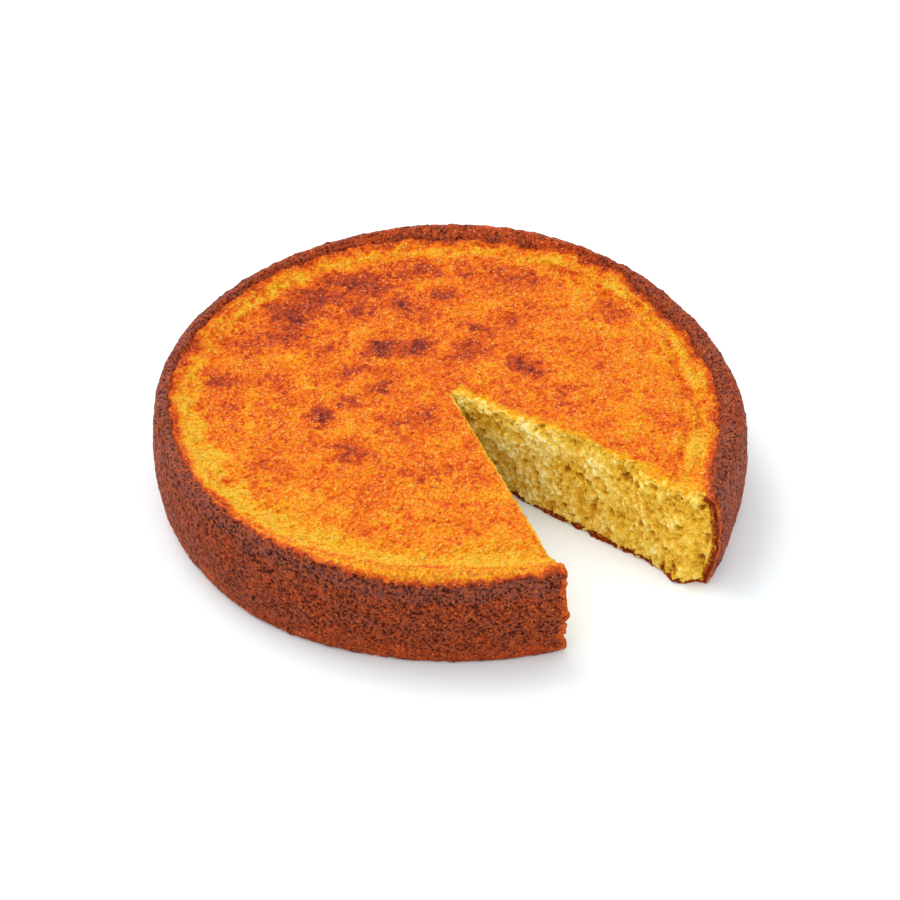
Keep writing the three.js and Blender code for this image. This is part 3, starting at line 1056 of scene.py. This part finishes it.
# %% Writing finishes
class Finish:
    """A material made of nodes."""

    def __init__(self, name):
        self.material = bpy.data.materials.new(name)
        self.material.use_nodes = True
        self.nodes = self.material.node_tree.nodes
        self.shader = self.nodes["Principled BSDF"]
        self.place = self.add("ShaderNodeTexCoord").outputs["Object"]

    def add(self, kind, sockets={}, **settings):
        node = self.nodes.new(kind)
        for setting, value in settings.items():
            setattr(node, setting, value)
        self.join(node, sockets)
        return node

    def join(self, node, sockets):
        for socket, value in sockets.items():
            if isinstance(value, bpy.types.NodeSocket):
                self.material.node_tree.links.new(value, node.inputs[socket])
            else:
                node.inputs[socket].default_value = value

    def value(self, name):
        return self.add("ShaderNodeAttribute", attribute_name=name).outputs["Fac"]

    def mottle(self, size, detail=2.0):
        """Soft noise, mostly from 0.3 to 0.7."""
        sockets = {"Vector": self.place, "Scale": 1 / (size * MM), "Detail": detail}
        return self.add("ShaderNodeTexNoise", sockets).outputs["Fac"]

    def bent(self, size, far):
        """Places moved about by up to far, so that round spots made there lose their roundness."""
        noise = self.add("ShaderNodeTexNoise", {"Vector": self.place, "Scale": 1 / (size * MM)})
        sockets = {0: noise.outputs["Color"], 1: (2 * far * MM,) * 3, 2: self.place}
        return self.add("ShaderNodeVectorMath", sockets, operation="MULTIPLY_ADD").outputs[0]

    def grains(self, size, output="Distance", place=None):
        """Cells of about one size: how far the middle of each is, or a colour of its own."""
        sockets = {"Vector": place or self.place, "Scale": 1 / (size * MM)}
        return self.add("ShaderNodeTexVoronoi", sockets).outputs[output]

    def math(self, operation, first, second):
        return self.add("ShaderNodeMath", {0: first, 1: second}, operation=operation).outputs[0]

    def span(self, value, start, end, low=0.0, high=1.0):
        """Carries start to low and end to high, and stays between them."""
        sockets = {"Value": value, "From Min": start, "From Max": end, "To Min": low, "To Max": high}
        return self.add("ShaderNodeMapRange", sockets).outputs[0]

    def uneven(self, size, low, high, detail=2.0):
        """A number that wanders between low and high."""
        return self.span(self.mottle(size, detail), 0.3, 0.7, low, high)

    def off_veins(self, size):
        """0 along fine winding lines, and more the further from them."""
        return self.math("ABSOLUTE", self.math("SUBTRACT", self.mottle(size), 0.5), 0)

    def dots(self, size, edge, core, rare, common):
        """Round dots in some of the grains: the colour of a grain has to pass from rare to common."""
        chosen = self.span(self.grains(size, "Color"), rare, common)
        return self.math("MULTIPLY", self.span(self.grains(size), edge, core), chosen)

    def blend(self, first, second, share, way="MIX"):
        sockets = {0: share, 6: first, 7: second}
        return self.add("ShaderNodeMix", sockets, data_type="RGBA", blend_type=way).outputs[2]

    def ramp(self, value, stops):
        node = self.add("ShaderNodeValToRGB", {"Fac": value})
        elements = node.color_ramp.elements
        while len(elements) < len(stops):
            elements.new(0.5)
        for element, (position, colour) in zip(elements, stops):
            element.position, element.color = position, colour
        return node.outputs["Color"]

    def bump(self, height, depth, below=None):
        sockets = {"Height": height, "Distance": depth * MM}
        if below:
            sockets["Normal"] = below
        return self.add("ShaderNodeBump", sockets).outputs["Normal"]


STUDIO_LIGHT = 1.38  # times as bright as a white card needs, so that the floor is pure white


def paint(red, green, blue):
    """A colour named as it shall look in the picture, from 0 to 255, as the light it reflects."""
    seen = np.array([red, green, blue]) / 255
    light = np.where(seen <= 0.04045, seen / 12.92, ((seen + 0.055) / 1.055) ** 2.4)
    return (*(light / STUDIO_LIGHT).tolist(), 1.0)


print("a white card reflects:", paint(255, 255, 255)[0])

# %% [markdown]
# Fresh crumb is moist, matte and a little see-through, so light goes in and comes out warmer. Its
# walls are pale yellow. A plain yellow would look like plastic. A ramp over the depth of the holes,
# broken up by clouds and small grains, paints the holes darker and olive and the crests paler, which
# is painted shade and painted highlight, and light under the surface softens them.

# %% Finish of the crumb
def crumb_colour(finish):
    """Pale yellow crumb, painted lighter on its crests and grain middles and darker and olive in its
    holes: painted highlight and painted shade.
    """
    clouds = finish.math("ADD", finish.mottle(2.4), finish.mottle(0.7))
    shade = finish.math("ADD", finish.value("painted_hollow_shade"), finish.span(clouds, 0.7, 1.3, 0.12, -0.12))
    # the grains are painted lighter in their middles and darker at their edges: painted highlight and
    # painted shade
    grains = finish.grains(1.4, place=finish.bent(1.1, 0.5))
    shade = finish.math("ADD", shade, finish.span(grains, 0.08, 0.6, -0.12, 0.14))
    return finish.ramp(shade, [
        (0.02, (1.0, 0.86, 0.40, 1)),
        (0.22, (0.92, 0.68, 0.16, 1)),
        (0.42, (0.88, 0.55, 0.055, 1)),
        (0.60, (0.78, 0.42, 0.026, 1)),
        (0.90, (0.42, 0.17, 0.009, 1)),
    ])


moist = Finish("moist_crumb")
fine_grain = moist.bump(moist.mottle(0.5, 3), 0.35)
moist.join(moist.shader, {
    "Base Color": crumb_colour(moist),
    "Roughness": moist.uneven(1.5, 0.5, 0.75),
    "Normal": moist.bump(moist.grains(0.9), -0.5, fine_grain),
    "Specular IOR Level": 0.08,
    "Subsurface Weight": 0.25,
    "Subsurface Radius": (1.0, 0.6, 0.2),
    "Subsurface Scale": 0.002,
})
crumb_piece.data.materials.append(moist.material)
print("crumb finish:", len(moist.nodes), "nodes")

# %% [markdown]
# The golden top has a soft, faintly oily sheen. It goes from yellow over orange to a purplish brown,
# speckled by pebbles, pinholes and small glints. One ramp over the browning gives the broad colour.
# Its input is raised between the pebbles and in the low parts of the relief and lowered on the
# crests, which is painted shade and painted highlight. A painted picture would blur when seen from
# near, so everything small is laid over the ramp by nodes: painted shade between the pebbles and in
# the pinholes, and pale threads and glints that are painted highlights.

# %% Colour of the golden top
baked = Finish("golden_baked_top")
pebble = baked.grains(1.3)
# browner between the pebbles and paler in their middles: painted shade and painted highlight
painted_pebble_shade = baked.span(pebble, 0.1, 0.7, -0.09, 0.1)
speckle_and_pebble_shade = baked.math("ADD", baked.uneven(1.7, -0.07, 0.07), painted_pebble_shade)
# the relief's crests are painted paler and its low parts browner: painted highlight and painted shade
speckle_and_pebble_shade = baked.math("ADD", speckle_and_pebble_shade, baked.span(baked.value("crest"), -0.6, 0.5, 0.11, -0.1))
brown = baked.math("ADD", baked.value("browning"), speckle_and_pebble_shade)
colour = baked.ramp(brown, [
    (0.00, paint(255, 202, 48)),
    (0.18, paint(255, 172, 18)),
    (0.36, paint(255, 138, 6)),
    (0.52, paint(242, 102, 8)),
    (0.68, paint(206, 78, 24)),
    (0.84, paint(172, 60, 34)),
    (1.00, paint(124, 44, 34)),
])

# %% Small marks on the golden top: painted highlights and painted shade
# painted highlights: pale threads along fine winding lines
painted_highlight_threads = baked.span(baked.off_veins(1.3), 0.04, 0.008)
painted_highlight_threads = baked.math("MULTIPLY", painted_highlight_threads, baked.span(brown, 0.7, 0.4, 0.06, 0.36))
colour = baked.blend(colour, paint(255, 186, 76), painted_highlight_threads)
# painted shade: the colour is darkened between the pebbles
between = baked.span(pebble, 0.45, 0.7, 0, 0.5)
colour = baked.blend(colour, (0.94, 0.6, 0.4, 1), between, "MULTIPLY")
# painted shade: pinholes and small dots are painted dark red
painted_pinhole_shade = baked.math("MAXIMUM", baked.dots(2.3, 0.2, 0.1, 0.35, 0.45), baked.value("pinholes"))
colour = baked.blend(colour, paint(142, 44, 8), baked.math("MULTIPLY", painted_pinhole_shade, 0.6))
# painted highlights: pale glints on some pebbles
glints = baked.math("MULTIPLY", baked.dots(1.3, 0.26, 0.12, 0.5, 0.6), 0.72)
colour = baked.blend(colour, paint(255, 226, 184), glints)

# %% Torn edges and shine of the golden top
torn = baked.math("ADD", baked.value("torn"), baked.uneven(2, -0.12, 0.12))
colour = baked.blend(colour, paint(255, 184, 12), baked.span(torn, 0.1, 0.42, 0, 0.9))
colour = baked.blend(colour, crumb_colour(baked), baked.span(torn, 0.44, 0.6))
baked.join(baked.shader, {
    "Base Color": colour,
    "Roughness": baked.uneven(1.2, 0.32, 0.5),
    "Normal": baked.bump(baked.mottle(0.5, 3), 0.3, baked.bump(pebble, -0.9)),
    "Specular IOR Level": 0.08,
    "Subsurface Weight": 0.12,
    "Subsurface Radius": (1.0, 0.4, 0.1),
    "Subsurface Scale": 0.0015,
})
golden_top.data.materials.append(baked.material)
print("golden top finish:", len(baked.nodes), "nodes")

# %% [markdown]
# The crust is a dark red brown that turns purplish where it is driest. Its pits, creases and cracks
# are painted nearly black, which is painted shade, and a few grains in it stay golden. Where the knife
# cut it, it shows a paler, torn inside. One brown with strong bumps would look like leather, so the
# veins and the golden specks each have a colour of their own, the pits get painted shade, and where
# the crust turns golden, pale glints are painted highlights.

# %% Colour of the crust
tinned = Finish("browned_crust")
browned, pebble_cells = tinned.value("browning"), tinned.grains(1.3)
speckle_and_pebble_shade = tinned.math("ADD", tinned.uneven(0.8, -0.12, 0.12, 3), tinned.uneven(4, -0.05, 0.05))
# browner between small cells and paler in their middles: painted shade and painted highlight
speckle_and_pebble_shade = tinned.math("ADD", speckle_and_pebble_shade, tinned.span(pebble_cells, 0.1, 0.7, -0.08, 0.1))
colour = tinned.ramp(tinned.math("ADD", browned, speckle_and_pebble_shade), [
    (0.00, paint(255, 186, 30)),
    (0.14, paint(254, 156, 18)),
    (0.30, paint(244, 112, 18)),
    (0.48, paint(204, 76, 28)),
    (0.66, paint(140, 48, 21)),
    (0.82, paint(130, 58, 40)),
    (1.00, paint(120, 63, 57)),
])

# %% Pits and specks of the crust, with painted shade in the pits and painted glints
small_pits = tinned.span(tinned.grains(1.5, place=tinned.bent(1.2, 0.7)), 0.4, 0.2)
veins = tinned.span(tinned.off_veins(1.7), 0.09, 0.01, 0, 0.55)
colour = tinned.blend(colour, paint(212, 100, 42), veins)
# painted shade: pits, creases and cracks are painted nearly black
dark = tinned.math("MAXIMUM", tinned.value("pits"), tinned.math("MULTIPLY", small_pits, 0.8))
dark = tinned.math("MULTIPLY", dark, tinned.span(browned, 0.46, 0.64, 0.1, 1))
colour = tinned.blend(colour, (0.2, 0.1, 0.07, 1), tinned.span(dark, 0.1, 0.8, 0, 0.94), "MULTIPLY")
specks = tinned.math("MULTIPLY", tinned.dots(1.7, 0.26, 0.14, 0.62, 0.66), 0.8)
colour = tinned.blend(colour, paint(232, 132, 50), specks)
# painted highlights: pale glints on some grains where the crust turns golden
where_pale = tinned.span(browned, 0.66, 0.5, 0, 0.5)
glints = tinned.math("MULTIPLY", tinned.dots(1.3, 0.26, 0.12, 0.5, 0.6), where_pale)
colour = tinned.blend(colour, paint(255, 210, 160), glints)

# %% Cut edges and shine of the crust
inner = tinned.value("inner")
torn_crust = tinned.ramp(tinned.math("ADD", inner, tinned.uneven(1.4, -0.35, 0.35)), [
    (0.40, paint(118, 44, 17)),
    (0.72, paint(184, 82, 21)),
    (0.95, paint(232, 118, 20)),
    (1.00, paint(246, 170, 44)),
])
colour = tinned.blend(colour, torn_crust, tinned.span(inner, 0.02, 0.25))
grain_bump = tinned.bump(tinned.mottle(0.6, 3), 0.2)
tinned.join(tinned.shader, {
    "Base Color": colour,
    "Roughness": tinned.uneven(1.6, 0.42, 0.62),
    "Normal": tinned.bump(tinned.math("SUBTRACT", 1.0, small_pits), 0.4, grain_bump),
    "Specular IOR Level": 0.07,
})
side_crust.data.materials.append(tinned.material)
print("crust finish:", len(tinned.nodes), "nodes")

# %% [markdown]
# The three pieces together stand for the solid of the cake. Each is tied to it by name and moves
# with it. They could be parented in Blender as well, but the names keep them tied in every other
# program that loads the cake.

# %% Tying the pieces to the solid
for piece, slot in ((golden_top, "golden_top"), (crumb_piece, "crumb"), (side_crust, "side_crust")):
    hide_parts(NODE)
    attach(piece, "root")
    print(piece.name, "has the finish", slot)

# %% [markdown]
# A large pale floor, light from all round and one soft sun make a plain studio. The sun stands high
# at the back left, so its soft shadow falls to the right and the front. Lamps with soft boxes would
# do as well, but they would stand in the way of some views.

# %% Floor
FLOOR_HALF, FLOOR_DROP = 4.0, 0.05 * MM  # in metres: it lies a hair below the cake
corner_signs = (-1, -1), (1, -1), (1, 1), (-1, 1)
floor_corners = [(x * FLOOR_HALF, y * FLOOR_HALF, -FLOOR_DROP) for x, y in corner_signs]
floor_mesh = bpy.data.meshes.new("studio_floor")
floor_mesh.from_pydata(floor_corners, [], [(0, 1, 2, 3)])
floor = bpy.data.objects.new("studio_floor", floor_mesh)
bpy.context.scene.collection.objects.link(floor)
paper = Finish("pale_paper")
paper.join(paper.shader, {
    "Base Color": (0.79, 0.835, 0.855, 1),
    "Roughness": paper.uneven(8, 0.85, 0.95),
    "Specular IOR Level": 0.1,
})
floor_mesh.materials.append(paper.material)
print("floor:", 2 * FLOOR_HALF, "m wide")

# %% Light
SKY_STRENGTH, SUN_STRENGTH = 1.28, 1.35
SUN_FROM, SUN_WIDTH = (-0.08, 0.575, 0.81), 36  # direction, and degrees across: wide suns are soft
world = bpy.data.worlds.new("studio")
world.use_nodes = True
sky = world.node_tree.nodes["Background"].inputs
sky["Color"].default_value, sky["Strength"].default_value = (1, 1, 1, 1), SKY_STRENGTH
bpy.context.scene.world = world

sun = bpy.data.objects.new("soft_sun", bpy.data.lights.new("soft_sun", "SUN"))
sun.data.energy, sun.data.angle = SUN_STRENGTH, math.radians(SUN_WIDTH)
sun.rotation_euler = Vector(SUN_FROM).to_track_quat("Z", "Y").to_euler()
bpy.context.scene.collection.objects.link(sun)
sun_height = math.degrees(math.asin(Vector(SUN_FROM).normalized().z))
print("the sun stands", round(sun_height), "degrees high")

# %% [markdown]
# The camera looks down on the cake from well back with a long lens, as for a picture of food, so the
# far rim looks hardly smaller than the near one. It could be aimed by a constraint. Its direction is
# given by a turn round the cake and a rise above the table instead, which can be read off and kept.

# %% Camera
TURN, RISE, ROLL = (math.radians(degrees) for degrees in (-36.21, 38.74, -1.11))
AIM, DISTANCE = Vector((2.06, -0.31, 12.9)) * MM, 1.3384
LENS, FILM_WIDTH = 136.3, 36

back = Vector((math.sin(TURN) * math.cos(RISE), -math.cos(TURN) * math.cos(RISE), math.sin(RISE)))
right = Vector((math.cos(TURN), math.sin(TURN), 0))
looking = Matrix((right, back.cross(right), back)).transposed().to_4x4()
camera = bpy.data.objects.new("camera", bpy.data.cameras.new("camera"))
camera.data.lens, camera.data.sensor_width = LENS, FILM_WIDTH
camera.data.clip_start, camera.data.clip_end = 0.05, 20
standing = Matrix.Translation(AIM + back * DISTANCE) @ looking
camera.matrix_world = standing @ Matrix.Rotation(ROLL, 4, "Z")
bpy.context.scene.collection.objects.link(camera)
bpy.context.scene.camera = camera
bpy.context.scene.view_settings.view_transform = "Standard"
print("camera, m:", [round(n, 3) for n in camera.matrix_world.translation])

# %% [markdown]
# Last, the scene is brought up to date.

# %% Bringing the scene up to date
bpy.context.view_layer.update()
